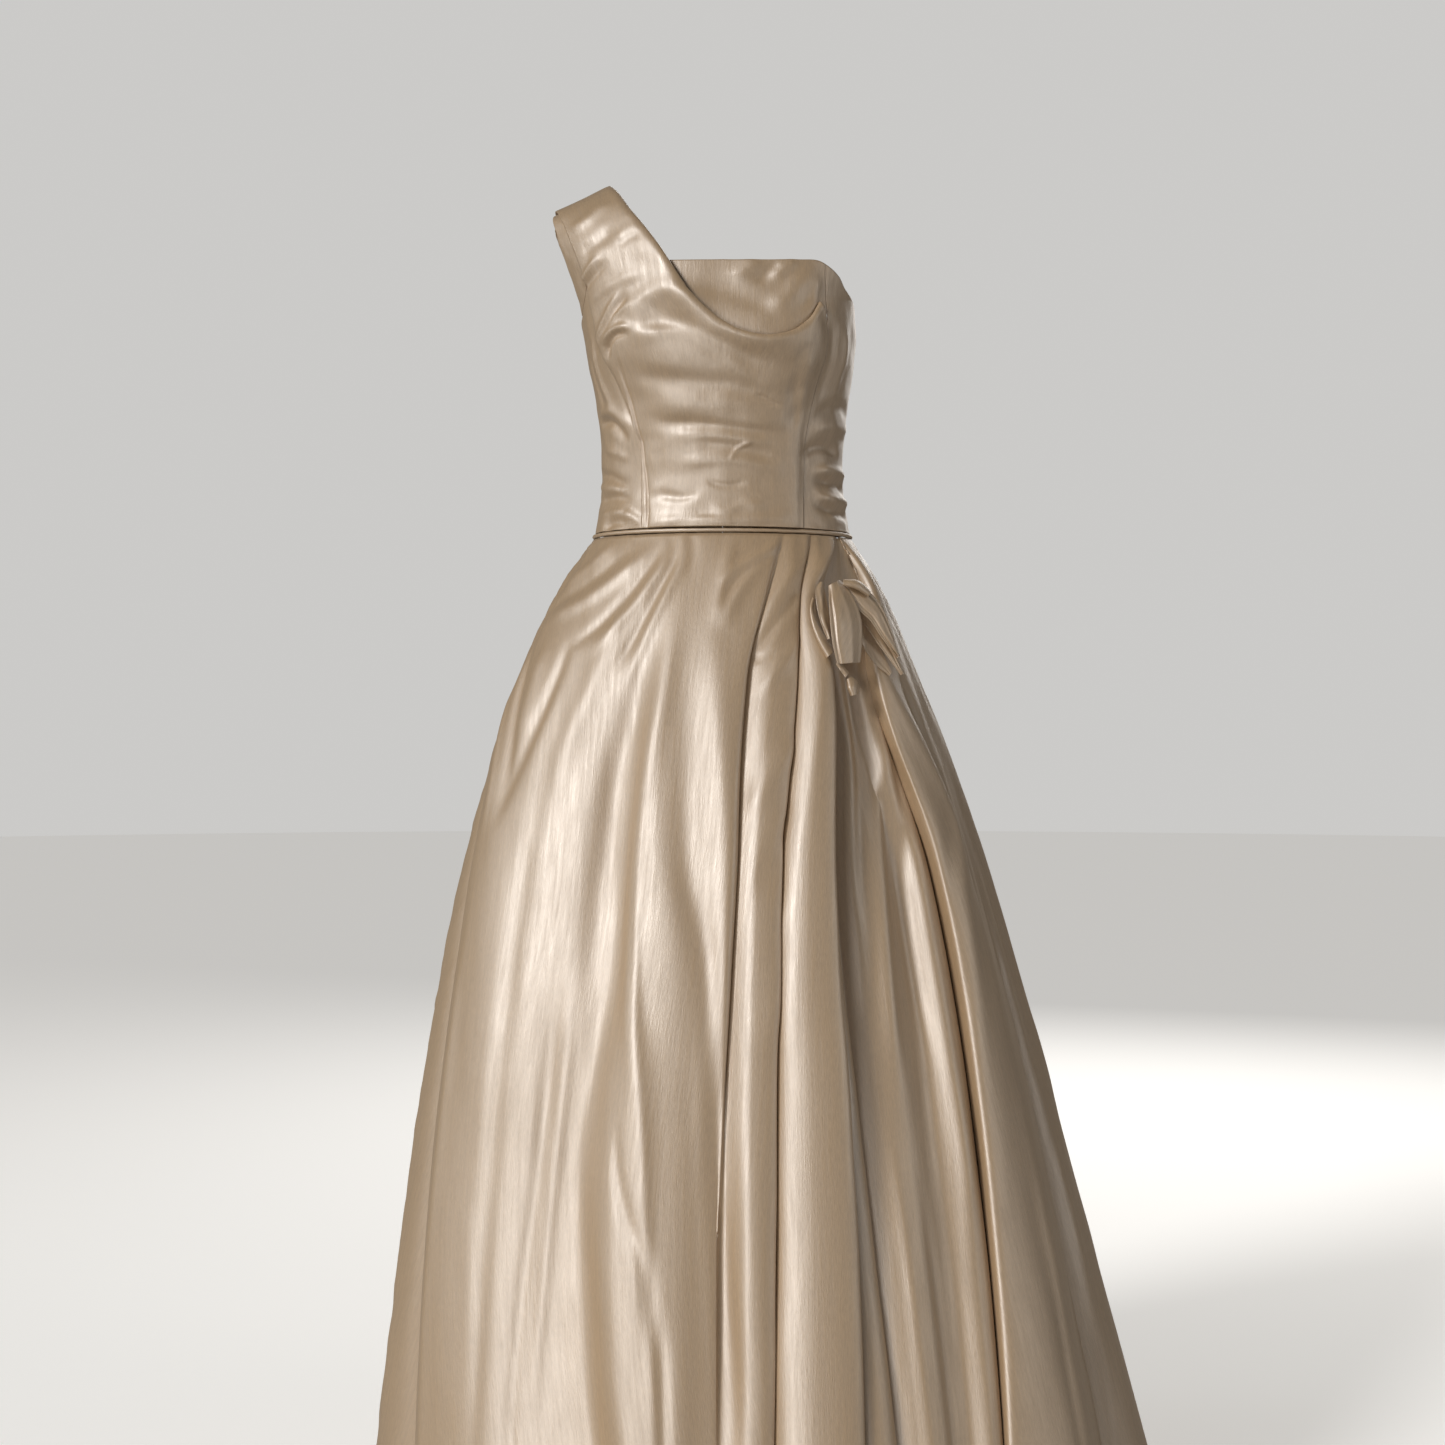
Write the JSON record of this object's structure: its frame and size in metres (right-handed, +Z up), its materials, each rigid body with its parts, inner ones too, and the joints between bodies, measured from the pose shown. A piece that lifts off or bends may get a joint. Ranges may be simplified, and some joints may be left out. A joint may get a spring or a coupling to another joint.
{
  "type": "ball gown",
  "caption": "One-shoulder satin ball gown in its worn form, with a draped bodice, a corded waist and a full floor-length skirt that opens at the hip under a bow.",
  "frame": {"origin": "middle of the wearer's waist, level with the waist seam", "axes": "+Z up from hem to shoulder, -Y out of the front of the gown, +X towards the wearer's left"},
  "size_m": [0.877, 0.8764, 1.4636],
  "materials": {
    "champagne_satin": "heavy satin with a soft sheen and a fine rib across the cloth"
  },
  "bodies": {
    "root": {"bodice_front": "champagne_satin", "bodice_side_left": "champagne_satin", "bodice_side_right": "champagne_satin", "bodice_back_left": "champagne_satin", "bodice_back_right": "champagne_satin", "bodice_drape": "champagne_satin", "strap_under": "champagne_satin", "strap_back": "champagne_satin", "waist_piping": "champagne_satin", "skirt_front": "champagne_satin", "skirt_front_pleat": "champagne_satin", "skirt_inset": "champagne_satin", "skirt_side_left": "champagne_satin", "skirt_back_left": "champagne_satin", "skirt_back_right": "champagne_satin", "bow_leaf_centre": "champagne_satin", "bow_petal_left": "champagne_satin", "bow_petal_rolled": "champagne_satin", "bow_leaf_right": "champagne_satin", "bow_leaf_under": "champagne_satin", "bow_petal_lower": "champagne_satin", "bow_knot": "champagne_satin", "bow_stem": "champagne_satin", "bow_bud": "champagne_satin"}
  },
  "joints": []
}
